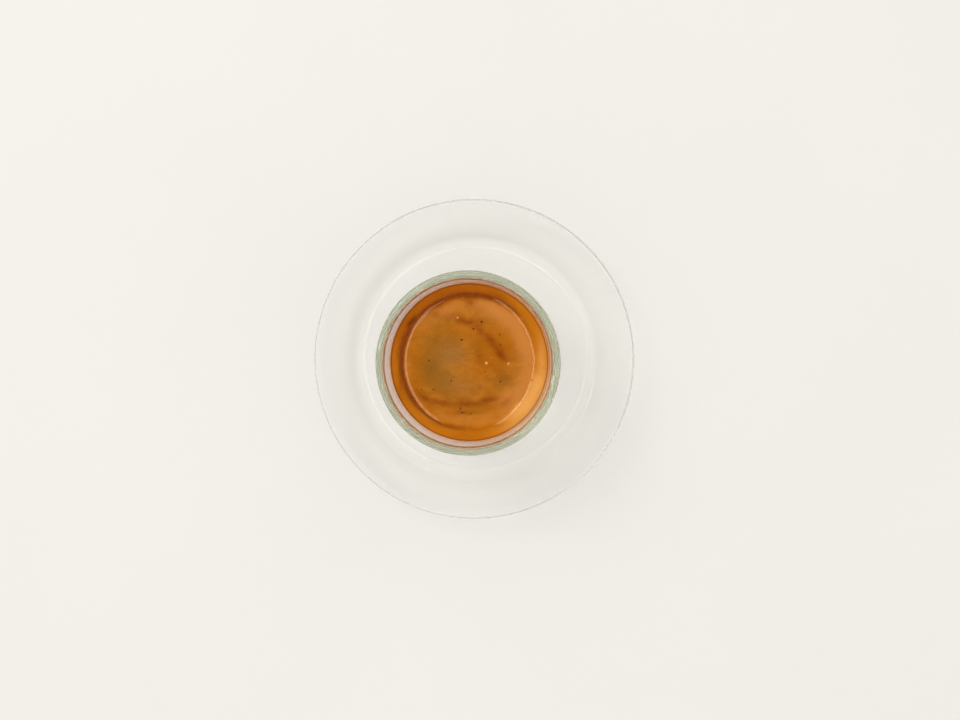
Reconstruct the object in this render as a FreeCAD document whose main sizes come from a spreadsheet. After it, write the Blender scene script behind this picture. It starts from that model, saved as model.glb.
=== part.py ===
"""Espresso in a thick glass cup that stands on a glass saucer, as a parametric document.

The origin is the centre of the saucer's foot, +Z is up, and everything turns about the Z axis. The cup
stands in a shallow seat in the middle of the saucer. The coffee fills the cup from its floor to the
underside of the crema, and the crema runs right through to the glass and climbs it a little.
"""

import FreeCAD, Part
import math
import os

import Sketcher

SAME_EDGE = 1e-4  # how near an edge must lie to the place it is looked for at

SIZES = {
    # saucer
    "saucer_radius": 60.0,
    "saucer_height": 14.0,
    "saucer_bead": 2.0,  # thickness of the rounded bead along the edge
    "groove_reach": 2.6,  # from the edge in to the groove beside the bead
    "groove_drop": 1.5,  # from the top of the bead down to the groove
    "groove_round": 0.4,
    "saucer_plate": 4.2,  # thickness of the flat middle
    "saucer_bend": 47.5,  # radius at which the dish turns up into the rim
    "saucer_bend_round": 10.0,
    "foot_ring_radius": 46.2,
    "foot_ring_width": 3.0,
    "foot_ring_height": 0.8,
    "foot_ring_slope": 1.2,  # width of the ring's sloping inner side
    "foot_ring_round": 1.5,
    "foot_ring_outer_round": 3.0,
    "seat_gap": 1.5,  # free play of the cup's foot in its seat
    "seat_depth": 0.6,
    "seat_slope": 1.4,  # width of the seat's sloping side
    # cup
    "cup_height": 54.0,
    "rim_radius": 31.45,
    "wall": 3.0,
    "taper": 4.93,  # lean of the wall from the vertical, in degrees
    "cup_floor": 10.0,
    "foot_hollow_radius": 20.5,
    "foot_hollow_depth": 0.8,
    "foot_hollow_slope": 1.2,
    "heel_round": 2.0,
    "floor_round": 6.0,
    # drink
    "fill_drop": 13.0,  # from the rim down to the flat of the crema
    "crema_depth": 4.0,
    "climb": 1.6,  # how far the crema climbs the glass
    "climb_width": 3.0,
    "climb_round": 12.0,
}

doc = FreeCAD.newDocument("EspressoShot")
sheet = doc.addObject("Spreadsheet::Sheet", "Sizes")
for row, (word, size) in enumerate(SIZES.items(), start=1):
    sheet.set(f"A{row}", word)
    sheet.set(f"B{row}", str(size))
    sheet.setAlias(f"B{row}", word)
doc.recompute()


def sized(expression):
    """The expression with each of the sheet's words turned into a reference to its cell."""
    for word in sorted(SIZES, key=len, reverse=True):
        expression = expression.replace(f"<{word}>", f"Sizes.{word}")
    return expression


class Outline:
    """A closed half section in a body's XZ plane: straight edges, and round ends tangent to them."""

    def __init__(self, body):
        self.body = body
        self.sketch = body.newObject("Sketcher::SketchObject", f"{body.Label}_section")
        plane = next(f for f in body.Origin.OriginFeatures if f.Role == "XZ_Plane")
        self.sketch.AttachmentSupport = [(plane, "")]
        self.sketch.MapMode = "FlatFace"
        doc.recompute()

    def value(self, expression):
        """The number that an expression gives now."""
        return float(self.sketch.evalExpression(sized(expression)))

    def hold(self, kind, *where, expression=None):
        """Adds a constraint, whose size follows the expression if there is one."""
        if expression is None:
            return self.sketch.addConstraint(Sketcher.Constraint(kind, *where))
        number = self.sketch.addConstraint(Sketcher.Constraint(kind, *where, self.value(expression)))
        self.sketch.renameConstraint(number, f"size{number}")
        self.sketch.setExpression(f"Constraints.size{number}", sized(expression))
        return number

    def place(self, edge, end, x, z):
        """Fixes a point of an edge by its distance from the axis and its height; 0 puts it on an axis."""
        origin, x_axis, z_axis = (-1, 1), -1, -2
        if x == "0":
            self.hold("PointOnObject", edge, end, z_axis)
        else:
            self.hold("DistanceX", *origin, edge, end, expression=x)
        if z == "0":
            self.hold("PointOnObject", edge, end, x_axis)
        else:
            self.hold("DistanceY", *origin, edge, end, expression=z)

    def draw(self, steps):
        """Draws the section and turns it a full circle.

        Each step is (x, z), a corner, or (x, z, radius), the centre of a round end that runs anticlockwise.
        """
        spots = [[self.value(number) for number in step] for step in steps]
        leaves = [self.way_in(spots, number, +1) for number in range(len(steps))]
        enters = [self.way_in(spots, number, -1) for number in range(len(steps))]
        lines = []
        for number, leave in enumerate(leaves):
            enter = enters[(number + 1) % len(steps)]
            lines.append(self.sketch.addGeometry(Part.LineSegment(leave, enter), False))
        for number, step in enumerate(steps):
            before, after = lines[number - 1], lines[number]
            if len(step) == 2:
                self.hold("Coincident", before, 2, after, 1)
                self.place(after, 1, *step)
                continue
            x, z, radius = spots[number]
            turn = [math.atan2(end.y - z, end.x - x) for end in (enters[number], leaves[number])]
            if turn[1] < turn[0]:
                turn[1] += 2 * math.pi
            circle = Part.Circle(FreeCAD.Vector(x, z, 0), FreeCAD.Vector(0, 0, 1), radius)
            arc = self.sketch.addGeometry(Part.ArcOfCircle(circle, *turn), False)
            self.hold("Radius", arc, expression=step[2])
            self.place(arc, 3, *step[:2])
            self.hold("Tangent", before, 2, arc, 1)
            self.hold("Tangent", arc, 2, after, 1)
        doc.recompute()
        turned = self.body.newObject("PartDesign::Revolution", f"{self.body.Label}_turned")
        turned.Profile = self.sketch
        turned.ReferenceAxis = (self.sketch, ["V_Axis"])
        turned.Angle = 360.0
        self.body.Tip = turned
        doc.recompute()

    @staticmethod
    def way_in(spots, number, side):
        """The point of a step that the straight edge before it (side -1) or after it (side +1) reaches."""
        spot, other = spots[number], spots[(number + side) % len(spots)]
        if len(spot) == 2:
            return FreeCAD.Vector(*spot, 0)
        x, z, radius = spot
        far = math.hypot(other[0] - x, other[1] - z)
        turn = math.atan2(other[1] - z, other[0] - x) - side * math.acos(radius / far)
        return FreeCAD.Vector(x + radius * math.cos(turn), z + radius * math.sin(turn), 0)

    def round_ring(self, name, x, z, radius):
        """Rounds the circular edge of the solid that passes through (x, z)."""
        solid, reach, height = self.body.Tip, self.value(x), self.value(z)
        names = []
        for number, edge in enumerate(solid.Shape.Edges, start=1):
            if not isinstance(edge.Curve, Part.Circle):
                continue
            if math.hypot(edge.Curve.Radius - reach, edge.Curve.Center.z - height) < SAME_EDGE:
                names.append(f"Edge{number}")
        if not names:
            raise ValueError(f"{self.body.Label}: no edge to round for {name}")
        fillet = self.body.newObject("PartDesign::Fillet", f"{self.body.Label}_{name}")
        fillet.Base = (solid, names)
        fillet.setExpression("Radius", sized(radius))
        self.body.Tip = fillet
        doc.recompute()


def new_body(label, height):
    """An empty body with its own label, standing at a height that follows the expression."""
    body = doc.addObject("PartDesign::Body", label)
    body.Label = label
    body.Placement = FreeCAD.Placement()
    body.setExpression(".Placement.Base.z", sized(height))
    doc.recompute()
    return body


# heights of the stack, each from the table or from the cup's own foot
PLATE_TOP = "<foot_ring_height> + <saucer_plate>"
SEAT_TOP = f"{PLATE_TOP} - <seat_depth>"
CREMA_TOP = "<cup_height> - <fill_drop>"
CREMA_BOTTOM = f"{CREMA_TOP} - <crema_depth>"
LEAN = "tan(<taper> * 1 deg)"


def outer_wall(height):
    """The cup's outer radius at a height above its foot."""
    return f"<rim_radius> - (<cup_height> - ({height})) * {LEAN}"


def inner_wall(height):
    """The cup's inner radius at a height above its foot, which is the drink's own radius there."""
    return f"<rim_radius> - <wall> - (<cup_height> - ({height})) * {LEAN}"


SEAT_RADIUS = f"{outer_wall('0')} + <seat_gap>"


def make_saucer():
    """A flat dish on a foot ring, with a seat for the cup and a sloping rim that ends in a bead."""
    ring_inside = "<foot_ring_radius> - <foot_ring_width>"
    ring_root = f"{ring_inside} - <foot_ring_slope>"
    groove = ("<saucer_radius> - <groove_reach>", "<saucer_height> - <groove_drop>")
    outline = Outline(new_body("saucer", "0"))
    outline.draw(
        [
            ("0", "<foot_ring_height>"),
            (ring_root, "<foot_ring_height>"),
            (ring_inside, "0"),
            ("<foot_ring_radius>", "0"),
            (
                "<saucer_radius> - <saucer_bead> / 2",
                "<saucer_height> - <saucer_bead> / 2",
                "<saucer_bead> / 2",
            ),
            groove,
            ("<saucer_bend>", PLATE_TOP),
            (f"{SEAT_RADIUS} + <seat_slope>", PLATE_TOP),
            (SEAT_RADIUS, SEAT_TOP),
            ("0", SEAT_TOP),
        ]
    )
    outline.round_ring("groove", *groove, "<groove_round>")
    outline.round_ring("bend", "<saucer_bend>", PLATE_TOP, "<saucer_bend_round>")
    outline.round_ring("seat_side", f"{SEAT_RADIUS} + <seat_slope>", PLATE_TOP, "<seat_depth>")
    outline.round_ring("ring_root", ring_root, "<foot_ring_height>", "<foot_ring_round>")
    outline.round_ring("ring_inside", ring_inside, "0", "<foot_ring_round>")
    outline.round_ring("ring_outside", "<foot_ring_radius>", "0", "<foot_ring_outer_round>")
    return outline.body


def make_cup():
    """A thick tapered cup with a heavy base and a fully rounded rim."""
    outline = Outline(new_body("cup", SEAT_TOP))
    outline.draw(
        [
            ("0", "<foot_hollow_depth>"),
            ("<foot_hollow_radius>", "<foot_hollow_depth>"),
            ("<foot_hollow_radius> + <foot_hollow_slope>", "0"),
            (outer_wall("0"), "0"),
            ("<rim_radius> - <wall> / 2", "<cup_height> - <wall> / 2", "<wall> / 2"),
            (inner_wall("<cup_floor>"), "<cup_floor>"),
            ("0", "<cup_floor>"),
        ]
    )
    outline.round_ring("heel", outer_wall("0"), "0", "<heel_round>")
    outline.round_ring("floor", inner_wall("<cup_floor>"), "<cup_floor>", "<floor_round>")
    return outline.body


def make_coffee():
    """The liquid, from the cup's floor to the underside of the crema."""
    outline = Outline(new_body("coffee", SEAT_TOP))
    outline.draw(
        [
            ("0", "<cup_floor>"),
            (inner_wall("<cup_floor>"), "<cup_floor>"),
            (inner_wall(CREMA_BOTTOM), CREMA_BOTTOM),
            ("0", CREMA_BOTTOM),
        ]
    )
    outline.round_ring("floor", inner_wall("<cup_floor>"), "<cup_floor>", "<floor_round>")
    return outline.body


def make_crema():
    """The foam on the coffee, flat in the middle and curving up to the glass all round."""
    line = f"{CREMA_TOP} + <climb>"
    outline = Outline(new_body("crema", SEAT_TOP))
    outline.draw(
        [
            ("0", CREMA_BOTTOM),
            (inner_wall(CREMA_BOTTOM), CREMA_BOTTOM),
            (inner_wall(line), line),
            (f"{inner_wall(line)} - <climb_width>", CREMA_TOP),
            ("0", CREMA_TOP),
        ]
    )
    outline.round_ring(
        "climb", f"{inner_wall(line)} - <climb_width>", CREMA_TOP, "<climb_round>"
    )
    return outline.body


pieces = [make_saucer(), make_cup(), make_coffee(), make_crema()]
doc.recompute()

for item in doc.Objects:
    if {"Invalid", "Error"} & set(item.State):
        raise RuntimeError(f"{item.Label} failed: {item.State}")
for piece in pieces:
    if piece.Shape.isNull() or not piece.Shape.isValid() or len(piece.Shape.Solids) != 1:
        raise RuntimeError(f"{piece.Label} is not one valid solid")

os.makedirs("parts", exist_ok=True)
for piece in pieces:
    piece.Shape.exportStep(f"parts/{piece.Label}.step")
    box = piece.Shape.optimalBoundingBox()
    print(
        f"{piece.Label}: {piece.Shape.Volume / 1000:.2f} ml, "
        f"z {box.ZMin:.2f} to {box.ZMax:.2f}, radius {box.XMax:.2f}"
    )
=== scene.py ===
"""Espresso with crema in a thick glass cup on a glass saucer: its looks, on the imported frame."""

import logging
import math
from collections.abc import Callable
from dataclasses import dataclass, replace
from enum import Enum

import bpy
from mathutils import Matrix, Vector, noise


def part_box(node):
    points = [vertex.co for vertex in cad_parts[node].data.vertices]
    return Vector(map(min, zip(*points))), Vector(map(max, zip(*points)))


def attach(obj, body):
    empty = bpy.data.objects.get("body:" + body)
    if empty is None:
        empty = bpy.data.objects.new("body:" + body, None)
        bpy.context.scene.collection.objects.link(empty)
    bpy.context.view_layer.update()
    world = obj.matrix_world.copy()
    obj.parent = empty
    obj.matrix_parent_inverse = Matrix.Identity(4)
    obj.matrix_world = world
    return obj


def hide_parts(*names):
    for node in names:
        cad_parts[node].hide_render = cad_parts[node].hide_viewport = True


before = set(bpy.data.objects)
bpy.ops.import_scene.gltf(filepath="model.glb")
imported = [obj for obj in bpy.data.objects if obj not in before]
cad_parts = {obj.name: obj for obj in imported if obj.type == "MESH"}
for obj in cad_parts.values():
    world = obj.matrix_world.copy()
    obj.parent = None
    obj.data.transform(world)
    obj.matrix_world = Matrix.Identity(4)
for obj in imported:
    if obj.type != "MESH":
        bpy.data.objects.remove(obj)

logging.basicConfig(level=logging.INFO, format="%(name)s: %(message)s")
log = logging.getLogger("espresso")

MM = 0.001
BODY = "root"
CREMA = "crema_foam"
FULL_TURN = 2 * math.pi
SHARP = math.radians(50)  # edges that turn by more than this aren't shaded smooth
INTO_LIQUID = 0.75  # the drink's index over the glass's, low enough to keep light inside the wall
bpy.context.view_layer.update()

Colour = tuple[float, float, float, float]
Place = tuple[float, float, float]
Piece = bpy.types.Object
Socket = bpy.types.NodeSocket


# Outlines: half sections of turned pieces, as (reach from the axis, height) in metres


@dataclass(frozen=True)
class Corner:
    """A corner of an outline, rounded with the radius bend."""

    reach: float
    height: float
    bend: float = 0.0


@dataclass(frozen=True)
class RoundEnd:
    """A full round end of an outline: an arc that both neighbouring straights touch."""

    reach: float
    height: float
    radius: float


Step = Corner | RoundEnd
Point = tuple[float, float]


class Outline:
    """Traces corners and round ends into a fine line of points, from the axis round to the axis."""

    arc_step = math.radians(6.0)
    straight_step = 1.2 * MM
    least_gap = 0.0001 * MM  # points closer than this are one
    flat_half = math.radians(89.5)  # a corner whose half angle passes this is left sharp

    def __init__(self, steps: list[Step]) -> None:
        """Keeps the steps."""
        self.steps = steps

    def _touch(self, number: int, side: int) -> Point:
        """Where the straight on one side of a step leaves it.

        Args:
            number: The step's place in the list.
            side: -1 for the straight before it, +1 for the one after it.

        Returns:
            The corner itself, or the point where the straight touches a round end.
        """
        step = self.steps[number]
        if isinstance(step, Corner):
            return step.reach, step.height
        other = self.steps[(number + side) % len(self.steps)]
        across, up = other.reach - step.reach, other.height - step.height
        turn = math.atan2(up, across) - side * math.acos(step.radius / math.hypot(across, up))
        return step.reach + step.radius * math.cos(turn), step.height + step.radius * math.sin(turn)

    def _arc(self, centre: Point, radius: float, start: float, sweep: float) -> list[Point]:
        """Points along an arc.

        Args:
            centre: The arc's centre.
            radius: Its radius.
            start: The angle it starts at.
            sweep: How far it turns, negative for clockwise.

        Returns:
            Its points, both ends included.
        """
        parts = max(2, math.ceil(abs(sweep) / self.arc_step))
        turns = [start + sweep * part / parts for part in range(parts + 1)]
        return [(centre[0] + radius * math.cos(t), centre[1] + radius * math.sin(t)) for t in turns]

    def _corner(self, before: Point, corner: Corner, after: Point) -> list[Point]:
        """The points of a rounded corner.

        Args:
            before: The point that the outline comes from.
            corner: The corner.
            after: The point that it goes on to.

        Returns:
            The corner alone if it is sharp, or the arc that rounds it.
        """
        place = Vector((corner.reach, corner.height))
        back, ahead = (Vector(before) - place).normalized(), (Vector(after) - place).normalized()
        if corner.bend <= 0 or back.length == 0 or ahead.length == 0:
            return [(corner.reach, corner.height)]
        half = math.acos(max(-1.0, min(1.0, back.dot(ahead)))) / 2
        if half > self.flat_half:
            return [(corner.reach, corner.height)]
        centre = place + (back + ahead).normalized() * (corner.bend / math.sin(half))
        first = place + back * (corner.bend / math.tan(half))
        start = math.atan2(first.y - centre.y, first.x - centre.x)
        side = 1 if back.x * ahead.y - back.y * ahead.x < 0 else -1
        return self._arc((centre.x, centre.y), corner.bend, start, side * (math.pi - 2 * half))

    def points(self) -> list[Point]:
        """The whole outline.

        Returns:
            Points close enough together for smooth shading, straights included.
        """
        count, line = len(self.steps), []
        for number, step in enumerate(self.steps):
            before = self._touch((number - 1) % count, +1)
            after = self._touch((number + 1) % count, -1)
            if isinstance(step, Corner):
                at_end = number in (0, count - 1)
                line += [(step.reach, step.height)] if at_end else self._corner(before, step, after)
                continue
            turns = [
                math.atan2(y - step.height, x - step.reach)
                for x, y in (self._touch(number, -1), self._touch(number, +1))
            ]
            sweep = (turns[1] - turns[0]) % FULL_TURN
            line += self._arc((step.reach, step.height), step.radius, turns[0], sweep)
        return self._filled(line)

    def _filled(self, line: list[Point]) -> list[Point]:
        """Adds points along long straights.

        Args:
            line: The outline's points.

        Returns:
            The same outline with no gap longer than the straight step.
        """
        full = [line[0]]
        for start, end in zip(line, line[1:]):
            gap = math.dist(start, end)
            if gap < self.least_gap:
                continue
            parts = max(1, math.ceil(gap / self.straight_step))
            for part in range(1, parts + 1):
                share = part / parts
                full.append(tuple(a + (b - a) * share for a, b in zip(start, end)))
        return full


Shift = Callable[[float, float, float], Point]
Mesh = tuple[list[Place], list[tuple[int, ...]]]


def turned(line: list[Point], sides: int, shift: Shift | None = None) -> Mesh:
    """Turns an outline that starts and ends on the axis into a closed solid about Z.

    Args:
        line: The outline, anticlockwise, so that the faces point outwards.
        sides: How many steps the full turn has.
        shift: A function of (reach, height, turn) that moves a point, or None.

    Returns:
        Its points and faces.
    """
    vertices, faces = [(0.0, 0.0, line[0][1])], []
    inner = line[1:-1]
    for reach, height in inner:
        for side in range(sides):
            turn = FULL_TURN * side / sides
            r, z = shift(reach, height, turn) if shift else (reach, height)
            vertices.append((r * math.cos(turn), r * math.sin(turn), z))
    top = shift(0.0, line[-1][1], 0.0)[1] if shift else line[-1][1]
    vertices.append((0.0, 0.0, top))
    last = (len(inner) - 1) * sides
    for side in range(sides):
        near, far = 1 + side, 1 + (side + 1) % sides
        faces.append((0, far, near))
        for low in range(0, last, sides):
            high = low + sides
            faces.append((near + low, far + low, far + high, near + high))
        faces.append((near + last, far + last, len(vertices) - 1))
    return vertices, faces


def smooth_object(mesh: bpy.types.Mesh) -> Piece:
    """Shades a mesh smooth and puts it in the scene.

    Args:
        mesh: The mesh.

    Returns:
        Its object, of the same name.
    """
    mesh.polygons.foreach_set("use_smooth", [True] * len(mesh.polygons))
    piece = bpy.data.objects.new(mesh.name, mesh)
    bpy.context.scene.collection.objects.link(piece)
    return piece


def mesh_object(name: str, vertices: list[Place], faces: list[tuple[int, ...]]) -> Piece:
    """Makes a smooth mesh object.

    Args:
        name: The name of the object and its mesh.
        vertices: Its points, in metres.
        faces: Its faces, as tuples of point numbers.

    Returns:
        The object, linked to the scene.
    """
    mesh = bpy.data.meshes.new(name)
    mesh.from_pydata(vertices, [], faces)
    piece = smooth_object(mesh)
    mesh.set_sharp_from_angle(angle=SHARP)
    mesh.update()
    return piece


def settle(piece: Piece, node: str | None = None) -> None:
    """Puts a finished piece on the body and logs it.

    Args:
        piece: The piece.
        node: The solid that it stands for, or None.
    """
    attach(piece, BODY)
    if node is not None:
        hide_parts(node)
    log.info("%s: %d faces", piece.name, len(piece.data.polygons))


# Shader building


def linear(part: float) -> float:
    """A part of a display colour, from 0 to 255, as the light that it stands for, from 0 to 1."""
    part /= 255
    return part / 12.92 if part <= 0.04045 else ((part + 0.055) / 1.055) ** 2.4


def shade(red: float, green: float, blue: float) -> Colour:
    """A display colour, each part from 0 to 255, as the linear colour that a shader takes."""
    return linear(red), linear(green), linear(blue), 1.0


def add_node(tree: bpy.types.NodeTree, kind: str, settings: dict, inputs: dict) -> bpy.types.Node:
    """Adds a node to a tree.

    Args:
        tree: The tree.
        kind: The node's type.
        settings: Its properties, set first.
        inputs: Socket names or numbers, with a value, a Value or a socket for each.

    Returns:
        The node.
    """
    made = tree.nodes.new(kind)
    for key, setting in settings.items():
        setattr(made, key, setting)
    for key, given in inputs.items():
        if isinstance(given, Value):
            given = given.socket
        if isinstance(given, Socket):
            tree.links.new(given, made.inputs[key])
        else:
            made.inputs[key].default_value = given
    return made


class Value:
    """A number that varies over a surface. Python's operators add the nodes that work on it."""

    def __init__(self, wires: "Wires", socket: Socket) -> None:
        """Keeps the tree and the socket that gives the number."""
        self.wires = wires
        self.socket = socket

    def _with(self, operation: str, *parts: "Value | float") -> "Value":
        """What a Math node makes of these parts."""
        made = self.wires.node("ShaderNodeMath", {"operation": operation}, dict(enumerate(parts)))
        return Value(self.wires, made.outputs[0])

    def __add__(self, other: "Value | float") -> "Value":
        """This plus other."""
        return self._with("ADD", self, other)

    __radd__ = __add__

    def __sub__(self, other: "Value | float") -> "Value":
        """This less other."""
        return self._with("SUBTRACT", self, other)

    def __mul__(self, other: "Value | float") -> "Value":
        """This times other."""
        return self._with("MULTIPLY", self, other)

    def __truediv__(self, other: "Value | float") -> "Value":
        """This over other."""
        return self._with("DIVIDE", self, other)

    def root(self) -> "Value":
        """Its square root."""
        return self._with("SQRT", self)

    def size(self) -> "Value":
        """Its size without its sign."""
        return self._with("ABSOLUTE", self)

    def fade(self) -> "Value":
        """A bell's height at this squared distance: 1 at 0, falling smoothly to 0."""
        return self._with("EXPONENT", self * -1.0)

    def line(self, place: float, width: float) -> "Value":
        """A soft line where this passes a place: 1 on it, falling to 0 on both sides."""
        away = (self - place) / width
        return (away * away).fade()

    def rise(self, low: float, high: float) -> "Value":
        """A smooth step.

        Args:
            low: Where the step is 0.
            high: Where it is 1, which may be less than low.

        Returns:
            From 0 to 1.
        """
        made = self.wires.node(
            "ShaderNodeMapRange",
            {"interpolation_type": "SMOOTHSTEP"},
            {"Value": self, "From Min": low, "From Max": high},
        )
        return Value(self.wires, made.outputs["Result"])


class Wires:
    """One material's nodes."""

    def __init__(self, name: str) -> None:
        """Starts an empty material.

        Args:
            name: The material's name.
        """
        self.material = bpy.data.materials.new(name)
        self.material.use_nodes = True
        self.tree = self.material.node_tree
        self.tree.nodes.clear()
        self.output = self.tree.nodes.new("ShaderNodeOutputMaterial")

    def node(self, kind: str, settings: dict, inputs: dict) -> bpy.types.Node:
        """Adds a node to this material, as add_node does."""
        return add_node(self.tree, kind, settings, inputs)

    def place(self) -> Socket:
        """The point on the piece, in millimetres from the frame's origin."""
        return self.scaled(self.node("ShaderNodeTexCoord", {}, {}).outputs["Object"], 1 / MM)

    def vector(self, operation: str, inputs: dict) -> Socket:
        """A Vector Math node's result."""
        return self.node("ShaderNodeVectorMath", {"operation": operation}, inputs).outputs[0]

    def scaled(self, vector: Socket, by: float) -> Socket:
        """A vector made longer."""
        return self.vector("SCALE", {0: vector, "Scale": by})

    def stretched(self, vector: Socket, by: Place) -> Socket:
        """A vector with each of its parts multiplied by its own number."""
        return self.vector("MULTIPLY", {0: vector, 1: by})

    def warped(self, vector: Socket, scale: float, reach: float) -> Socket:
        """Moves a point about with soft noise.

        Args:
            vector: The point.
            scale: How many waves there are to a unit of length.
            reach: How far the point moves, at most about half of this each way.

        Returns:
            The moved point.
        """
        cloud = self.node("ShaderNodeTexNoise", {}, {"Vector": vector, "Scale": scale, "Detail": 2.0})
        centred = self.vector("SUBTRACT", {0: cloud.outputs["Color"], 1: (0.5, 0.5, 0.5)})
        return self.vector("ADD", {0: vector, 1: self.scaled(centred, reach)})

    def reach(self, vector: Socket) -> Value:
        """How far a point is from the axis."""
        x, y, _ = self.split(vector)
        return (x * x + y * y).root()

    def split(self, vector: Socket) -> tuple[Value, Value, Value]:
        """The three parts of a vector."""
        made = self.node("ShaderNodeSeparateXYZ", {}, {0: vector})
        return tuple(Value(self, made.outputs[number]) for number in range(3))

    def cloud(
        self,
        vector: Socket,
        scale: float,
        detail: float = 3.0,
        rough: float = 0.5,
        twist: float = 0.0,
    ) -> Value:
        """Noise from 0 to 1.

        Args:
            vector: The point it is read at.
            scale: How many waves there are to a unit of length.
            detail: How many finer layers it has.
            rough: How strong the finer layers are.
            twist: How much it is distorted.

        Returns:
            The noise.
        """
        made = self.node(
            "ShaderNodeTexNoise",
            {},
            {"Vector": vector, "Scale": scale, "Detail": detail, "Roughness": rough, "Distortion": twist},
        )
        return Value(self, made.outputs[0])

    def mix(self, share: Value, below: Socket | Colour, above: Socket | Colour) -> Socket:
        """Two colours blended, with this share of the one above."""
        made = self.node("ShaderNodeMix", {"data_type": "RGBA"}, {0: share, 6: below, 7: above})
        return made.outputs[2]

    def bump(self, height: Value, reach: float, strength: float = 1.0) -> Socket:
        """A normal tilted by a height field, where a height of 1 stands for this reach in metres."""
        made = self.node("ShaderNodeBump", {}, {"Height": height, "Distance": reach, "Strength": strength})
        return made.outputs["Normal"]

    def principled(self, inputs: dict) -> None:
        """Ends the tree in a Principled shader with these inputs."""
        made = self.node("ShaderNodeBsdfPrincipled", {}, inputs)
        self.tree.links.new(made.outputs[0], self.output.inputs["Surface"])


# Finishes


@dataclass(frozen=True)
class GlassFinish:
    """Clear pressed glass with a tint that shows where it is looked through lengthwise."""

    name: str
    loss: Place  # of red, green and blue, per metre of glass
    bending: float = 1.5
    ripple: float = 0.004 * MM  # how high the ripples stand
    ripple_scale: float = 0.11  # how many there are to a millimetre
    warp_scale: float = 0.05
    warp_reach: float = 6.0
    densest: float = 1.2  # the tint's density over the strongest loss, so that no part of it is black

    def make(self) -> bpy.types.Material:
        """Builds the material.

        Returns:
            Glass with faint pressing ripples and an even tint inside.
        """
        wires = Wires(self.name)
        wavy = wires.warped(wires.place(), self.warp_scale, self.warp_reach)
        ripples = wires.cloud(wavy, self.ripple_scale, 1.0)
        wires.principled(
            {
                "Base Color": (1.0, 1.0, 1.0, 1.0),
                "Roughness": 0.0,
                "IOR": self.bending,
                "Transmission Weight": 1.0,
                "Normal": wires.bump(ripples, self.ripple),
            }
        )
        most = max(self.loss) * self.densest
        kept = (*[1 - part / most for part in self.loss], 1.0)
        tint = wires.node("ShaderNodeVolumeAbsorption", {}, {"Color": kept, "Density": most})
        wires.tree.links.new(tint.outputs[0], wires.output.inputs["Volume"])
        return wires.material


class Zone(Enum):
    """Where on the crema a stain, a painted highlight or a painted shadow may lie."""

    DISC = "the flat middle"
    BAND = "the slope that rises to the glass"


@dataclass(frozen=True)
class Patch:
    """A soft oval on the crema, which is a stain, a painted highlight or a painted shadow: its place, size
    and turn in millimetres and degrees.
    """

    x: float
    y: float
    wide: float
    tall: float
    turn: float
    colour: Colour
    share: float
    zone: Zone

    def mask(self, wires: Wires, x: Value, y: Value) -> Value:
        """How much of the patch shows.

        Args:
            wires: The material's nodes.
            x: The point across.
            y: The point up.

        Returns:
            From 0 far outside to the patch's share in its middle.
        """
        along, across = math.cos(math.radians(self.turn)), math.sin(math.radians(self.turn))
        u = ((x - self.x) * along + (y - self.y) * across) / self.wide
        v = ((y - self.y) * along - (x - self.x) * across) / self.tall
        return (u * u + v * v).fade() * self.share


def patches(zone: Zone, *rows: tuple) -> list[Patch]:
    """Patches of one zone, from rows that give the rest of each."""
    return [Patch(*row, zone) for row in rows]


AMBER = shade(170, 103, 20)
HONEY = shade(196, 120, 32)
SALMON = shade(208, 133, 62)
OLIVE = shade(130, 87, 16)
TAUPE = shade(160, 110, 52)
GOLD = shade(174, 98, 0)
# RUST and UMBER darken the real swirls and grain, and are also used for painted shade and painted shadow
# on the slope
RUST = shade(134, 58, 0)
UMBER = shade(78, 26, 0)
# painted shade colour for the crease at the slope's foot
PAINTED_CREASE_SHADE = shade(118, 62, 22)
CONTACT = shade(96, 44, 6)
UNDERSIDE = shade(70, 30, 9)
# BRONZE and COPPER are also the shaded and lit ends of the painted light on the crema's slope
BRONZE = shade(160, 80, 0)
COPPER = shade(206, 124, 18)
# painted highlight colour for the side of the crema's slope that faces the key light
PAINTED_HIGHLIGHT_STRAW = shade(244, 180, 100)

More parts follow.
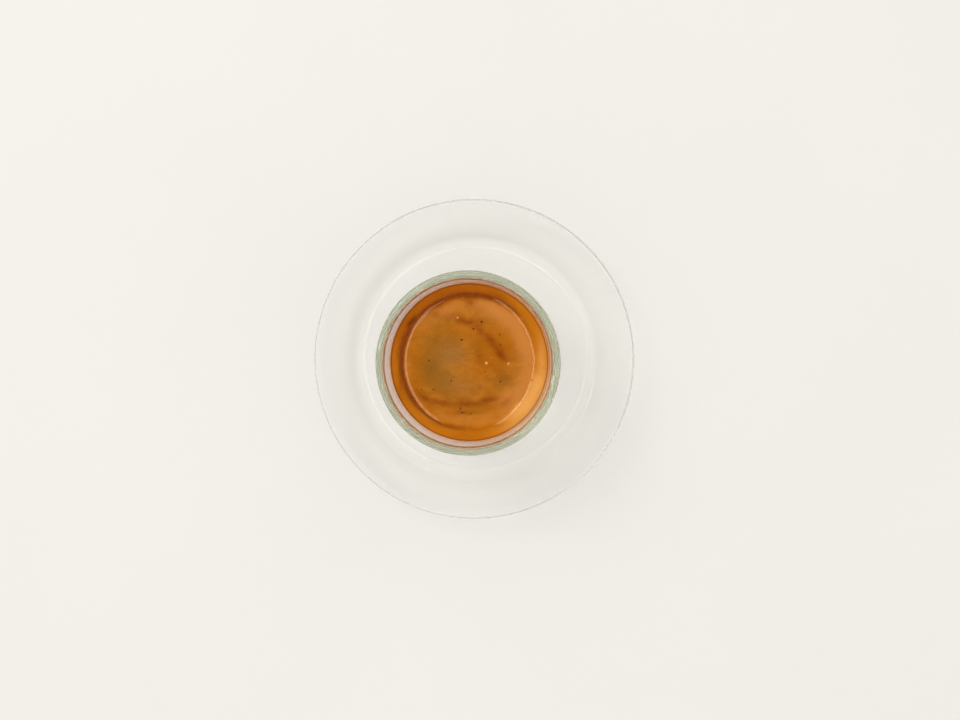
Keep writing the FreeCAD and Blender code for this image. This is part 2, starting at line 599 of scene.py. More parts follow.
CREMA_PATCHES = patches(
    Zone.DISC,
    (-11, 7, 6.5, 6, 20, OLIVE, 0.55),
    (-13.5, -2, 5, 6, 0, OLIVE, 0.8),
    (-9, -7.5, 6, 3.5, -20, OLIVE, 0.6),
    (-6, 2.5, 5.5, 5.5, 0, TAUPE, 0.85),
    (-4, -8, 7, 3.5, -10, TAUPE, 0.5),
    (8, 6, 7, 6.5, -30, GOLD, 0.75),
    (13.5, 5, 4.5, 6, -20, GOLD, 0.8),
    (7.5, -1.5, 6, 3, 0, GOLD, 0.7),
    (-19, 1, 2, 9, 5, GOLD, 0.55),
    (-17.5, -7, 3, 3.5, 20, GOLD, 0.5),
    (12, -6.5, 3.6, 3.2, -20, OLIVE, 0.6),
    (13.5, -11.5, 4, 2.5, 40, SALMON, 0.6),
    (-8, 18, 7, 2.6, 25, SALMON, 0.55),
    (9, 17, 8, 3, -28, SALMON, 0.7),
    (-3, -20, 9, 1.6, -4, SALMON, 0.5),
    (17.5, 9, 2.6, 6.5, 22, SALMON, 0.5),
    (0, -20, 11, 2, 0, HONEY, 0.6),
    # dark swirls
    (-1, 14.6, 4.5, 1.7, -8, RUST, 0.85),
    (-6.5, 16.4, 4, 1, 12, RUST, 0.3),
    (2, 16.8, 2, 1, 60, RUST, 0.3),
    (10.5, -3.5, 5, 1.2, -30, RUST, 0.25),
    (-3, 10.5, 6, 2.2, -10, GOLD, 0.45),
    (4, 10.8, 2.6, 1.4, -50, RUST, 0.6),
    (7.6, 7, 3.4, 1.3, -45, RUST, 0.75),
    (11.2, 2.6, 3, 1.5, -58, RUST, 0.9),
    (3, 3.2, 1.6, 3, 20, RUST, 0.45),
    (-15.5, -12.3, 3.6, 1.4, -35, RUST, 0.75),
    (-9.5, -14.2, 4.5, 1.2, -12, RUST, 0.7),
    (-1, -14.4, 5, 1.3, 2, RUST, 0.7),
    (6.5, -13.2, 4.2, 1.4, 14, RUST, 0.85),
    (13.5, -13.8, 3, 1.2, 35, RUST, 0.75),
    (-2, -17.6, 4, 0.9, -3, UMBER, 0.5),
    (-8, -16.8, 5, 1.4, -14, GOLD, 0.6),
    (5.5, -16.6, 5, 1.4, 12, GOLD, 0.6),
    (0.4, 21.3, 1.6, 1.6, 0, RUST, 0.6),
    (-11.5, 17, 3, 1.4, 40, RUST, 0.3),
) + patches(
    Zone.BAND,
    (18, 18.5, 9, 3, -45, COPPER, 0.6),
    (-26, 0, 9, 2, 90, COPPER, 0.45),
    (-18.5, -19, 9, 2, 135, COPPER, 0.5),
    (0, -26, 9, 2, 0, BRONZE, 0.4),
    # painted highlight: the lower right of the slope, which faces the key light
    (18.5, -15.5, 7.5, 3.4, 50, PAINTED_HIGHLIGHT_STRAW, 0.75),
    (23.5, -8, 6, 2.6, 70, PAINTED_HIGHLIGHT_STRAW, 0.65),
    (25.2, 2, 7, 1.6, 92, PAINTED_HIGHLIGHT_STRAW, 0.35),
    # painted shade: a dark line along the slope's foot, strongest at the top left, away from the key light
    (1, 22.9, 9, 1.5, -3, RUST, 0.85),
    (-11.5, 20, 6, 1.5, 30, RUST, 0.9),
    # painted shadow: the darkest spot, at the top left
    (-19.7, 14.2, 2.4, 1.2, 45, UMBER, 1),
    (-20.6, 13.2, 1, 0.6, 45, UMBER, 1),
    # painted shade along the slope's foot, going on down the left and round the top right and the bottom
    (-23, 7, 6, 1.3, 70, RUST, 0.85),
    (-24, -2, 7, 1, 92, RUST, 0.8),
    (-21, -12, 6, 1, 118, RUST, 0.5),
    (14, 20, 8, 1.5, -35, RUST, 0.35),
    (-5, -22.4, 7, 0.9, -8, RUST, 0.6),
    (7, -22.6, 5, 0.8, 14, RUST, 0.35),
)


@dataclass(frozen=True)
class CremaFinish:
    """Wet golden brown foam: mottled in the middle, cleaner towards the glass, with painted light and
    shade on the slope. In millimetres.
    """

    rim: float  # radius at which it meets the glass
    bottom: float  # height of its underside
    slope_start: float = 22.2  # radius at which the slope starts
    shadow_line: float = 23.6  # radius of the soft painted shadow line at the slope's foot
    crease_line: float = 23.9  # radius of the sharper painted crease shade in it
    contact_line: float = 0.28  # how far inside the rim the dark contact line lies
    in_glass: bool = False  # whether it is the side that lies against the glass

    def middle(self, wires: Wires, spot: Socket) -> Socket:
        """The flat middle: soft clouds, stains, swirls, fibres, and a pale haze at the right, which is
        painted sheen along the inside of the strip's reflection.

        Args:
            wires: The material's nodes.
            spot: The point on the foam.

        Returns:
            Its colour.
        """
        loose = wires.warped(wires.warped(spot, 0.12, 3.0), 0.4, 1.3)
        x, y, _ = wires.split(loose)
        soft = wires.cloud(wires.stretched(loose, (1.0, 1.7, 1.0)), 0.13, 5.0, 0.6, 0.6)
        colour = wires.mix(soft.rise(0.36, 0.66), AMBER, HONEY)
        colour = self.stains_and_painted_light(wires, colour, Zone.DISC, x, y)
        fibres = wires.cloud(wires.stretched(loose, (0.55, 1.5, 1.0)), 0.5, 5.0, 0.65, 1.0)
        colour = wires.mix(fibres.rise(0.52, 0.78) * 0.4, colour, RUST)
        colour = wires.mix(fibres.rise(0.46, 0.28) * 0.3, colour, HONEY)
        true_x, true_y, _ = wires.split(spot)
        # painted sheen: a pale haze near the edge of the disc on the right, along the inside of the right
        # strip's reflection
        near_edge = (wires.reach(spot) - 20.0).rise(-5.0, 1.0)
        haze = near_edge * (true_x + true_y * 0.2).rise(2.0, 15.0)
        return wires.mix(haze * 0.75, colour, SALMON)

    def slope(self, wires: Wires, near: Socket) -> Socket:
        """The slope that rises to the glass, with painted light: brighter on the side that faces the key
        light.

        Args:
            wires: The material's nodes.
            near: The point on the foam, moved about a little.

        Returns:
            Its colour.
        """
        x, y, _ = wires.split(near)
        # painted light: the slope is painted lighter towards the lower right, which faces the key light,
        # and darker towards the top left
        lit = (x * 0.55 - y * 0.6).rise(-34.0, 34.0)
        colour = wires.mix(lit * 0.8 + wires.cloud(near, 0.3, 3.0) * 0.25, BRONZE, COPPER)
        return self.stains_and_painted_light(wires, colour, Zone.BAND, x, y)

    @staticmethod
    def stains_and_painted_light(wires: Wires, colour: Socket, zone: Zone, x: Value, y: Value) -> Socket:
        """Lays one zone's patches over a colour: stains, and on the slope also painted highlights and
        painted shadows.

        Args:
            wires: The material's nodes.
            colour: The colour below.
            zone: Which patches.
            x: The point across.
            y: The point up.

        Returns:
            The stained colour.
        """
        for patch in CREMA_PATCHES:
            if patch.zone is zone:
                colour = wires.mix(patch.mask(wires, x, y), colour, patch.colour)
        return colour

    def lined(self, wires: Wires, spot: Socket, near: Socket, colour: Socket) -> Socket:
        """Draws the dark lines that run round the foam: painted shadow and painted crease shade at the
        slope's foot, on the side turned away from the key light, and a dark line at the glass.

        Args:
            wires: The material's nodes.
            spot: The point on the foam.
            near: The same point, moved about a little.
            colour: The colour below.

        Returns:
            The colour with the lines at the slope's foot and at the glass.
        """
        reach = wires.reach(spot)
        x, y, _ = wires.split(spot)
        ragged = wires.cloud(near, 0.35, 4.0, 0.6)
        turned_away = (y * 0.55 - x * 0.85).rise(-20.0, 14.0)
        # painted shadow: a soft dark line at the slope's foot, on the side turned away from the key light
        shadow = (reach + (ragged - 0.5) * 1.4).line(self.shadow_line, 0.75)
        colour = wires.mix(shadow * turned_away * ragged.rise(0.1, 0.5), colour, RUST)
        # painted shade: a sharper dark crease line, on the same side
        crease = (reach + (ragged - 0.5) * 0.8).line(self.crease_line, 0.4)
        colour = wires.mix(crease * ragged.rise(0.3, 0.55) * turned_away, colour, PAINTED_CREASE_SHADE)
        contact = (reach - (self.rim - self.contact_line)).size().rise(0.3, 0.0)
        return wires.mix(contact * 0.75, colour, CONTACT)

    def make(self) -> bpy.types.Material:
        """Builds the material.

        Returns:
            The foam, with its stains, swirls, painted light and shade on the slope, dark lines at the
            slope's foot (painted shade) and at the glass, fine grain and darker underside.
        """
        wires = Wires("crema_side" if self.in_glass else "crema_wet")
        spot = wires.place()
        near = wires.warped(spot, 0.25, 1.0)
        edge = wires.reach(spot) + (wires.cloud(spot, 0.18) - 0.5) * 2.4
        on_slope = edge.rise(self.slope_start - 0.9, self.slope_start + 1.0)
        colour = wires.mix(on_slope, self.middle(wires, spot), self.slope(wires, near))
        colour = self.lined(wires, spot, near, colour)
        grain = wires.cloud(spot, 2.4, 4.0, 0.7)
        colour = wires.mix(grain.rise(0.5, 0.75) * 0.26, colour, HONEY)
        colour = wires.mix(grain.rise(0.48, 0.28) * 0.3, colour, UMBER)
        _, _, height = wires.split(spot)
        wavy = height + (wires.cloud(spot, 0.35, 3.0) - 0.5) * 1.6
        colour = wires.mix(wavy.rise(self.bottom + 2.0, self.bottom) * 0.85, colour, UNDERSIDE)
        wires.principled(
            {
                "Base Color": colour,
                "Roughness": 0.035 + grain * 0.02,
                "IOR": INTO_LIQUID if self.in_glass else 1.4,
                "Specular IOR Level": 0.5 if self.in_glass else 0.09,
                "Normal": wires.bump(grain, 0.0006 * MM, 0.5),
            }
        )
        return wires.material


@dataclass(frozen=True)
class CoffeeFinish:
    """Dark liquid that turns browner and cloudier towards the foam. In millimetres."""

    top: float  # height of the foam's underside
    haze_depth: float = 22.0  # how far down the liquid is a little cloudy
    lift_depth: float = 5.0  # how far down it is clearly lighter

    def make(self) -> bpy.types.Material:
        """Builds the material.

        Returns:
            The liquid as it shows through the glass.
        """
        wires = Wires("coffee_dark")
        spot = wires.place()
        _, _, height = wires.split(spot)
        wavy = height + (wires.cloud(spot, 0.22, 4.0, 0.6) - 0.5) * 3.0
        haze = wavy.rise(self.top - self.haze_depth, self.top)
        lift = wavy.rise(self.top - self.lift_depth, self.top + 1.0)
        colour = wires.mix(haze * 0.6, shade(34, 14, 6), shade(64, 27, 10))
        colour = wires.mix(lift, colour, shade(112, 56, 18))
        wires.principled({"Base Color": colour, "Roughness": 0.02, "IOR": INTO_LIQUID})
        return wires.material


@dataclass(frozen=True)
class SkinFinish:
    """The wet skin of bubbles, or the wall of burst ones."""

    name: str
    colour: Colour
    other: Colour
    rough: float = 0.12
    shine: float = 0.5

    def make(self) -> bpy.types.Material:
        """Builds the material.

        Returns:
            A skin whose colour drifts from bubble to bubble.
        """
        wires = Wires(self.name)
        drift = wires.cloud(wires.place(), 0.9, 2.0).rise(0.3, 0.7)
        wires.principled(
            {
                "Base Color": wires.mix(drift, self.colour, self.other),
                "Roughness": self.rough,
                "IOR": 1.35,
                "Specular IOR Level": self.shine,
            }
        )
        return wires.material


@dataclass(frozen=True)
class TableFinish:
    """A plain warm white table top."""

    colour: Colour = shade(239, 237, 232)
    other: Colour = shade(235, 233, 228)

    def make(self) -> bpy.types.Material:
        """Builds the material.

        Returns:
            A satin surface with a barely visible unevenness.
        """
        wires = Wires("table")
        patchy = wires.cloud(wires.place(), 0.01, 4.0)
        wires.principled(
            {
                "Base Color": wires.mix(patchy, self.colour, self.other),
                "Roughness": 0.55,
                "Specular IOR Level": 0.3,
            }
        )
        return wires.material


# Pieces


@dataclass
class Saucer:
    """A clear dish on a foot ring, with a seat for the cup and a sloping rim."""

    bead: float = 2.0 * MM
    groove_reach: float = 2.6 * MM
    groove_drop: float = 1.5 * MM
    groove_round: float = 0.4 * MM
    plate: float = 4.2 * MM
    bend: float = 47.5 * MM
    bend_round: float = 10.0 * MM
    ring: float = 46.2 * MM
    ring_width: float = 3.0 * MM
    ring_height: float = 0.8 * MM
    ring_slope: float = 1.2 * MM
    ring_round: float = 1.5 * MM
    ring_outer_round: float = 3.0 * MM
    seat: float = 28.3 * MM
    seat_depth: float = 0.6 * MM
    seat_slope: float = 1.4 * MM
    clear: float = 0.02 * MM  # how far the seat lies below the cup's foot, so that they don't touch
    sides: int = 288
    finish: GlassFinish = GlassFinish("saucer_clear", (1.2, 1.0, 1.8), 1.34)

    def outline(self) -> list[Point]:
        """The dish's half section.

        Returns:
            Its points, from the middle of the underside round to the middle of the seat.
        """
        low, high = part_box("saucer")
        floor = self.ring_height + self.plate - self.clear
        inner_foot = self.ring - self.ring_width
        half = self.bead / 2
        return Outline(
            [
                Corner(0.0, self.ring_height),
                Corner(inner_foot - self.ring_slope, self.ring_height, self.ring_round),
                Corner(inner_foot, low.z, self.ring_round),
                Corner(self.ring, low.z, self.ring_outer_round),
                RoundEnd(high.x - half, high.z - half, half),
                Corner(high.x - self.groove_reach, high.z - self.groove_drop, self.groove_round),
                Corner(self.bend, floor, self.bend_round),
                Corner(self.seat + self.seat_slope, floor, self.seat_depth),
                Corner(self.seat, floor - self.seat_depth, self.seat_depth / 2),
                Corner(0.0, floor - self.seat_depth),
            ]
        ).points()

    def build(self) -> None:
        """Makes the dish and puts it in place of its solid."""
        dish = mesh_object("saucer_dish", *turned(self.outline(), self.sides))
        dish.data.materials.append(self.finish.make())
        settle(dish, "saucer")


@dataclass
class Cup:
    """A thick tapered glass cup with a heavy base, a shallow hollow under it and a round rim."""

    wall: float = 3.0 * MM
    taper: float = math.radians(4.93)
    base: float = 10.0 * MM
    hollow: float = 20.5 * MM
    hollow_depth: float = 0.8 * MM
    hollow_slope: float = 1.2 * MM
    hollow_round: float = 0.4 * MM
    heel_round: float = 2.0 * MM
    floor_round: float = 6.0 * MM
    sides: int = 288
    finish: GlassFinish = GlassFinish("cup_clear", (2.0, 0.5, 3.4), ripple=0.001 * MM)

    def __post_init__(self) -> None:
        """Reads where the cup stands and how wide it is from the frame."""
        low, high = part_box("cup")
        self.low, self.rim = low.z, high.z
        self.rim_reach = high.x

    def outer(self, height: float) -> float:
        """The outer wall's reach at a height."""
        return self.rim_reach - (self.rim - height) * math.tan(self.taper)

    def inner(self, height: float) -> float:
        """The inner wall's reach at a height."""
        return self.outer(height) - self.wall

    def outline(self) -> list[Point]:
        """The cup's half section.

        Returns:
            Its points, from the middle of the underside, up outside, over the rim and down inside.
        """
        half = self.wall / 2
        floor = self.low + self.base
        return Outline(
            [
                Corner(0.0, self.low + self.hollow_depth),
                Corner(self.hollow, self.low + self.hollow_depth, self.hollow_round),
                Corner(self.hollow + self.hollow_slope, self.low, self.hollow_round),
                Corner(self.outer(self.low), self.low, self.heel_round),
                RoundEnd(self.rim_reach - half, self.rim - half, half),
                Corner(self.inner(floor), floor, self.floor_round),
                Corner(0.0, floor),
            ]
        ).points()

    def build(self) -> None:
        """Makes the cup and puts it in place of its solid."""
        glass = mesh_object("cup_glass", *turned(self.outline(), self.sides))
        glass.data.materials.append(self.finish.make())
        settle(glass, "cup")


@dataclass
class Drink:
    """The coffee and the crema, each reaching just into the glass so that no air shows between."""

    cup: Cup
    into_wall: float = 0.15 * MM
    further: float = 0.005 * MM  # how much further than the coffee the crema reaches
    overlap: float = 0.1 * MM  # how far the coffee reaches into the crema
    climb: float = 1.6 * MM  # how far the crema climbs the glass
    climb_reach: float = 2.35 * MM  # how quickly it does
    swell: float = 0.012 * MM  # how uneven the crema is
    swell_length: float = 6.0 * MM
    side_rows: int = 14
    top_rows: int = 130
    under_rows: int = 6
    sides: int = 288

    def __post_init__(self) -> None:
        """Reads the levels from the frame."""
        low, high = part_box("crema")
        self.bottom, self.contact = low.z, high.z
        self.edge = self.cup.inner(self.contact)

    def surface(self, reach: float, turn: float) -> float:
        """The height of the crema's top.

        Args:
            reach: The distance from the axis.
            turn: The angle round it.

        Returns:
            The height, with the climb at the glass and the foam's slight unevenness.
        """
        x, y = reach * math.cos(turn), reach * math.sin(turn)
        climb = self.climb * math.exp(-max(0.0, self.edge - reach) / self.climb_reach)
        swell = noise.noise(Vector((x, y, 0)) / self.swell_length) * self.swell
        return self.contact - self.climb + climb + swell

    def coffee(self) -> Piece:
        """Makes the liquid.

        Returns:
            A solid that fills the cup up to the crema's underside.
        """
        floor = self.cup.low + self.cup.base
        top = self.bottom + self.overlap
        steps = [
            Corner(0.0, floor - self.into_wall),
            Corner(self.cup.inner(floor) + self.into_wall, floor - self.into_wall, self.cup.floor_round),
            Corner(self.cup.inner(top) + self.into_wall, top),
            Corner(0.0, top),
        ]
        return mesh_object("coffee_liquid", *turned(Outline(steps).points(), self.sides))

    def crema(self) -> Piece:
        """Makes the foam.

        Returns:
            A solid layer whose top curves up at the glass.
        """
        skirt = self.into_wall + self.further
        above = self.contact + MM  # the top's points are listed up here and come down in laid()
        depth = self.contact - self.bottom
        heights = [self.bottom + depth * row / self.side_rows for row in range(self.side_rows + 1)]
        under = [self.cup.inner(self.bottom) * row / self.under_rows for row in range(self.under_rows)]
        top = [(self.edge + skirt) * (1 - row / self.top_rows) for row in range(1, self.top_rows + 1)]
        line = [(reach, self.bottom) for reach in under]
        line += [(self.cup.inner(height) + skirt, height) for height in heights]
        line += [(reach, above) for reach in top]
        return mesh_object(CREMA, *turned(line, self.sides, self.laid))

    def laid(self, reach: float, height: float, turn: float) -> Point:
        """Brings the points of the crema's top down to its surface.

        Args:
            reach: The distance from the axis.
            height: The height in the outline.
            turn: The angle round the axis.

        Returns:
            The point's distance from the axis and its height.
        """
        if height < self.contact + MM / 2:
            return reach, height
        return reach, self.surface(min(reach, self.edge), turn)

    def build(self) -> None:
        """Makes both layers and puts them in place of their solids."""
        coffee = self.coffee()
        coffee.data.materials.append(CoffeeFinish(self.bottom / MM).make())
        settle(coffee, "coffee")
        crema = self.crema()
        finish = CremaFinish(self.edge / MM, self.bottom / MM)
        crema.data.materials.append(finish.make())
        crema.data.materials.append(replace(finish, in_glass=True).make())
        for face in crema.data.polygons:
            face.material_index = int(face.normal.z < 0.5)
        settle(crema, "crema")


class Scatter:
    """Geometry nodes that strew squashed balls over a surface."""

    inputs = {
        "Surface": "Geometry",
        "Spacing": "Float",
        "Density": "Float",
        "Seed": "Int",
        "Smallest": "Float",
        "Largest": "Float",
        "Finish": "Material",
    }
    squash = (1.0, 1.0, 0.7)
    rarity = 3.0  # the higher, the fewer large balls

    def __init__(self) -> None:
        """Builds the tree: points on the surface, a ball on each, made real and dressed."""
        self.tree = bpy.data.node_groups.new("fizz_scatter", "GeometryNodeTree")
        new_socket = self.tree.interface.new_socket
        self.sockets = {
            name: new_socket(name, in_out="INPUT", socket_type=f"NodeSocket{kind}")
            for name, kind in self.inputs.items()
        }
        new_socket("Balls", in_out="OUTPUT", socket_type="NodeSocketGeometry")
        given = self.node("NodeGroupInput", {}, {}).outputs
        points = self.node(
            "GeometryNodeDistributePointsOnFaces",
            {"distribute_method": "POISSON"},
            {
                "Mesh": given["Surface"],
                "Distance Min": given["Spacing"],
                "Density Max": given["Density"],
                "Seed": given["Seed"],
            },
        )
        ball = self.node("GeometryNodeMeshIcoSphere", {}, {"Radius": 1.0, "Subdivisions": 2})
        strewn = self.node(
            "GeometryNodeInstanceOnPoints",
            {},
            {
                "Points": points.outputs["Points"],
                "Instance": ball.outputs["Mesh"],
                "Scale": self.size(given),
            },
        )
        real = self.node("GeometryNodeRealizeInstances", {}, {"Geometry": strewn.outputs[0]})
        finish = {"Geometry": real.outputs[0], "Material": given["Finish"]}
        dressed = self.node("GeometryNodeSetMaterial", {}, finish)
        self.node("NodeGroupOutput", {}, {"Balls": dressed.outputs[0]})

    def size(self, given: bpy.types.NodeOutputs) -> Socket:
        """How large each ball is: low, mostly small, and seldom large.

        Args:
            given: The tree's inputs.

        Returns:
            The ball's scale.
        """
        chance = self.node("FunctionNodeRandomValue", {"data_type": "FLOAT"}, {"Seed": given["Seed"]})
        parts = {0: chance.outputs[1], 1: self.rarity}
        rare = self.node("ShaderNodeMath", {"operation": "POWER"}, parts)
        wide = self.node(
            "ShaderNodeMapRange",
            {},
            {"Value": rare.outputs[0], "To Min": given["Smallest"], "To Max": given["Largest"]},
        )
        scaled = {0: self.squash, "Scale": wide.outputs["Result"]}
        return self.node("ShaderNodeVectorMath", {"operation": "SCALE"}, scaled).outputs[0]

    def node(self, kind: str, settings: dict, inputs: dict) -> bpy.types.Node:
        """Adds a node to the tree, as add_node does."""
        return add_node(self.tree, kind, settings, inputs)

    def strew(self, name: str, surface: Piece, inputs: dict) -> Piece:
        """Strews balls over a surface and turns them into a plain mesh.

        Args:
            name: The new object's name.
            surface: The object to strew them on, which is removed.
            inputs: A value for each of the tree's inputs but the surface.

        Returns:
            The object.
        """
        modifier = surface.modifiers.new("strew", "NODES")
        modifier.node_group = self.tree
        for key, setting in inputs.items():
            modifier[self.sockets[key].identifier] = setting
        graph = bpy.context.evaluated_depsgraph_get()
        mesh = bpy.data.meshes.new_from_object(surface.evaluated_get(graph), depsgraph=graph)
        surface.modifiers.remove(modifier)
        bpy.data.objects.remove(surface)
        mesh.name = name
        return smooth_object(mesh)


@dataclass(frozen=True)
class Spot:
    """One bubble or hole on the crema: its place and its width, in millimetres."""

    x: float
    y: float
    wide: float


BUBBLES = (Spot(5.9, -0.3, 1.15), Spot(13.6, -0.5, 1), Spot(-4.1, 15.5, 0.7), Spot(7.6, 1.5, 0.35))
HOLES = (
    Spot(4.2, 14.1, 0.75),
    Spot(1.4, 11.6, 0.6),
    Spot(-2.7, 7.8, 0.7),
    Spot(10.5, 9.6, 0.5),
    Spot(10.8, 6.1, 0.5),
    Spot(-14.2, 0.5, 0.6),
    Spot(-13.3, -2, 0.3),
    Spot(-6.4, -6.5, 0.6),
    Spot(-5.5, -5.2, 0.35),
    Spot(-12.6, -9.5, 0.5),
    Spot(-16.7, -9.6, 0.4),
    Spot(-18.4, -9.6, 0.35),
    Spot(10.8, -6.7, 0.6),
    Spot(21.8, -6.1, 0.5),
    Spot(-3.1, -16.1, 0.5),
    Spot(-2.5, -17.6, 0.6),
    Spot(0.6, -17.9, 0.4),
    Spot(5.4, -3.3, 0.4),
    Spot(-8.8, -7.9, 0.3),
)


@dataclass
class Foam:
    """Bubbles and pinholes on the crema."""

    drink: Drink
    reach: float = 26.6 * MM  # how far out the fine bubbles lie
    spacing: float = 0.55 * MM
    density: float = 4.0e5  # fine bubbles per square metre
    smallest: float = 0.035 * MM
    largest: float = 0.15 * MM
    seed: int = 7
    bubble_rise: float = 0.22  # how high a bubble stands, as a share of its width
    hole_rise: float = 0.05
    cap_rings: int = 14
    cap_turns: int = 28
    rings: int = 28
    turns: int = 84

    def cap(self, spot: Spot, rise: float) -> Mesh:
        """Makes a low round cap, half sunk into the crema.

        Args:
            spot: Where it is and how wide.
            rise: How high it stands, as a share of its width.

        Returns:
            Its points and faces.
        """
        x, y, half = spot.x * MM, spot.y * MM, spot.wide * MM / 2
        base = self.drink.surface(math.hypot(x, y), math.atan2(y, x))
        tilts = [math.pi * ring / self.cap_rings for ring in range(self.cap_rings + 1)]
        line = [(half * math.sin(tilt), base - 2 * half * rise * math.cos(tilt)) for tilt in tilts]
        points, faces = turned(line, self.cap_turns)
        return [(x + across, y + up, height) for across, up, height in points], faces

    def caps(self, name: str, spots: tuple[Spot, ...], rise: float, skin: SkinFinish) -> Piece:
        """Makes all caps of one kind.

        Args:
            name: The object's name.
            spots: Where they are and how wide.
            rise: How high a cap stands, as a share of its width.
            skin: Its finish.

        Returns:
            The object.
        """
        vertices, faces = [], []
        for spot in spots:
            first = len(vertices)
            points, corners = self.cap(spot, rise)
            vertices += points
            faces += [tuple(first + number for number in face) for face in corners]
        piece = mesh_object(name, vertices, faces)
        piece.data.materials.append(skin.make())
        return piece

    def ground(self) -> Piece:
        """Makes the surface that the fine bubbles are strewn on.

        Returns:
            The object: the crema's top without its very middle.
        """
        vertices, faces = [], []
        for ring in range(1, self.rings + 1):
            reach = self.reach * ring / self.rings
            for turn in range(self.turns):
                angle = FULL_TURN * turn / self.turns
                height = self.drink.surface(reach, angle)
                vertices.append((reach * math.cos(angle), reach * math.sin(angle), height))
        for start in range(0, (self.rings - 1) * self.turns, self.turns):
            for turn in range(self.turns):
                near, far = start + turn, start + (turn + 1) % self.turns
                faces.append((near, near + self.turns, far + self.turns, far))
        return mesh_object("fizz_surface", vertices, faces)

    def fizz(self) -> Piece:
        """Strews fine bubbles.

        Returns:
            The object, with its finish on.
        """
        skin = SkinFinish("fizz_skin", shade(178, 104, 24), shade(200, 128, 46), 0.3, 0.2)
        inputs = {
            "Spacing": self.spacing,
            "Density": self.density,
            "Seed": self.seed,
            "Smallest": self.smallest,
            "Largest": self.largest,
            "Finish": skin.make(),
        }
        return Scatter().strew("crema_fizz", self.ground(), inputs)

    def build(self) -> None:
        """Makes the three kinds and puts them on the crema."""
        wet = SkinFinish("bubble_skin", shade(236, 166, 92), shade(216, 144, 70), shine=0.25)
        dark = SkinFinish("hole_wall", shade(74, 28, 2), shade(96, 46, 8), 0.5, 0.05)
        settle(self.caps("crema_bubbles", BUBBLES, self.bubble_rise, wet))
        settle(self.caps("crema_pinholes", HOLES, self.hole_rise, dark))
        settle(self.fizz())


# Floor, light and camera


WARM = (1.0, 0.8, 0.55)
NEUTRAL = (1.0, 0.99, 0.975)


@dataclass(frozen=True)
class SoftLight:
    """A flat soft light: where it hangs, what it points at, its size and its brightness."""

    name: str
    place: Place
    aim: Place
    wide: float
    tall: float
    glow: float  # brightness of its face, where 1 is a white sheet in the open
    colour: Place = NEUTRAL
    only: str | None = None  # the one piece that it lights, or None for all
    spare: str | None = None  # a piece that it leaves unlit, or None
    unblocked: bool = False  # whether it shines through everything that stands in its way

    def build(self) -> None:
        """Hangs the light."""
        lamp = bpy.data.lights.new(self.name, "AREA")
        lamp.shape = "RECTANGLE"
        lamp.size, lamp.size_y = self.wide, self.tall
        lamp.energy = self.glow * math.pi * self.wide * self.tall
        lamp.color = self.colour
        holder = bpy.data.objects.new(self.name, lamp)
        holder.location = self.place
        way = Vector(self.aim) - Vector(self.place)
        holder.rotation_euler = way.to_track_quat("-Z", "Y").to_euler()
        holder.visible_camera = False
        bpy.context.scene.collection.objects.link(holder)
        for piece, state in ((self.only, "INCLUDE"), (self.spare, "EXCLUDE")):
            if piece is not None:
                lit = bpy.data.collections.new(f"{self.name}_lit")
                lit.objects.link(bpy.data.objects[piece])
                lit.collection_objects[0].light_linking.link_state = state
                holder.light_linking.receiver_collection = lit
        if self.unblocked:
            holder.light_linking.blocker_collection = lit
            lamp.cycles.use_multiple_importance_sampling = False


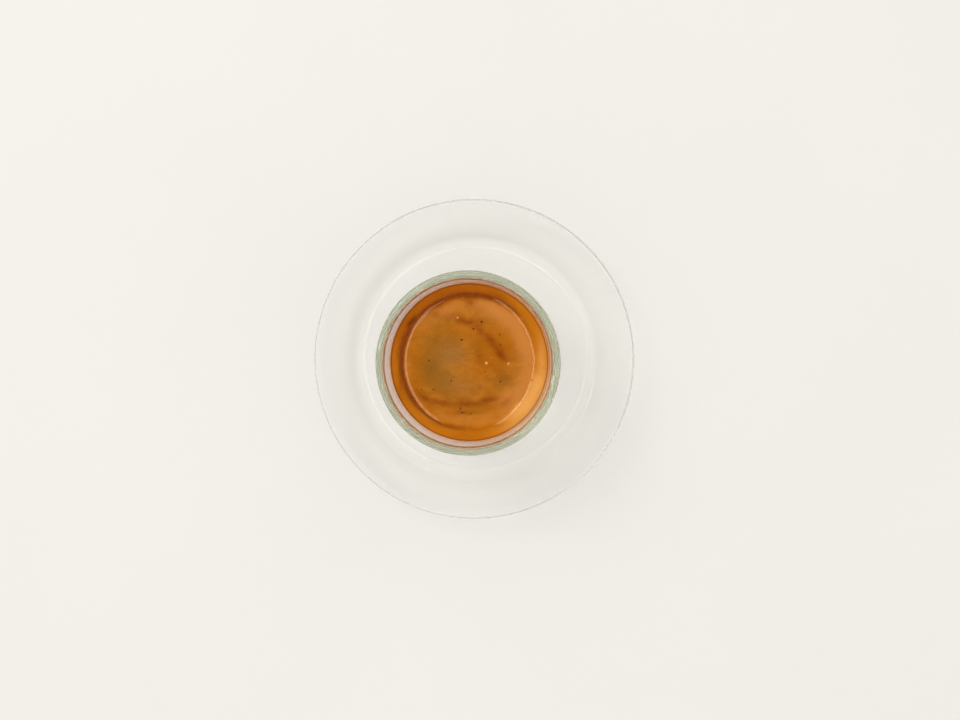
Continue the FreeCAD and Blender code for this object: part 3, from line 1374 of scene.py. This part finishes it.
@dataclass
class Studio:
    """A pale floor under soft light, seen from above."""

    floor_half: float = 3.0
    floor_drop: float = 0.02 * MM  # how far the floor lies below the saucer's foot
    sky: float = 0.70
    sky_colour: Place = NEUTRAL
    lens: float = 45.6
    sensor: float = 36.0
    nearest: float = 0.01
    bounces: int = 32
    glossy_bounces: int = 24
    eye: Place = (20.3 * MM, 13.3 * MM, 468.6 * MM)
    look_at: Place = (2.45 * MM, -0.17 * MM, 14.0 * MM)
    lights: tuple[SoftLight, ...] = (
        SoftLight("key", (-0.9, 0.8, 1.3), (0, 0, 0), 0.7, 0.7, 2.6),
        SoftLight("ceiling", (0.02, 0.02, 1.7), (0.02, 0.02, 0), 1.5, 1.5, 0.6, spare=CREMA),
        SoftLight("fill", (0, 0, 2.6), (0, 0, 0), 4.0, 4.0, 0.35, only="table", unblocked=True),
        SoftLight("strip_right", (0.03, -0.03, 1.05), (0.03, -0.03, 0), 0.05, 0.26, 26, WARM, CREMA),
        SoftLight("strip_left", (-0.135, -0.03, 1.05), (-0.135, -0.03, 0), 0.04, 0.38, 26, WARM, CREMA),
        SoftLight("rim_glint", (-0.7, 0.1, 0.9), (0, 0, 0.05), 0.08, 1.2, 4.0, only="cup_glass"),
    )

    def build(self) -> None:
        """Lays the floor, hangs the lights and sets up the camera."""
        half = self.floor_half
        square = ((-half, -half), (half, -half), (half, half), (-half, half))
        corners = [(x, y, -self.floor_drop) for x, y in square]
        floor = mesh_object("table", corners, [(0, 1, 2, 3)])
        floor.data.materials.append(TableFinish().make())
        world = bpy.data.worlds.new("studio")
        bpy.context.scene.world = world
        world.use_nodes = True
        sky = world.node_tree.nodes["Background"]
        sky.inputs["Color"].default_value = (*self.sky_colour, 1.0)
        sky.inputs["Strength"].default_value = self.sky
        for light in self.lights:
            light.build()
        self.camera()
        scene = bpy.context.scene
        scene.view_settings.view_transform = "Standard"
        scene.cycles.max_bounces = scene.cycles.transmission_bounces = self.bounces
        scene.cycles.glossy_bounces = self.glossy_bounces
        scene.cycles.blur_glossy = 0.0

    def camera(self) -> None:
        """Puts the camera almost straight above, with +Y up in the picture."""
        data = bpy.data.cameras.new("camera")
        data.lens = self.lens
        data.sensor_width = self.sensor
        data.clip_start = self.nearest
        eye = bpy.data.objects.new("camera", data)
        back = (Vector(self.eye) - Vector(self.look_at)).normalized()
        right = Vector((0, 1, 0)).cross(back).normalized()
        up = back.cross(right)
        turn = Matrix((right, up, back)).transposed().to_4x4()
        eye.matrix_world = Matrix.Translation(self.eye) @ turn
        bpy.context.scene.collection.objects.link(eye)
        bpy.context.scene.camera = eye


def main() -> None:
    """Builds the pieces in order, then the studio round them."""
    Saucer().build()
    cup = Cup()
    cup.build()
    drink = Drink(cup)
    drink.build()
    Foam(drink).build()
    Studio().build()


if __name__ == "__main__":
    main()
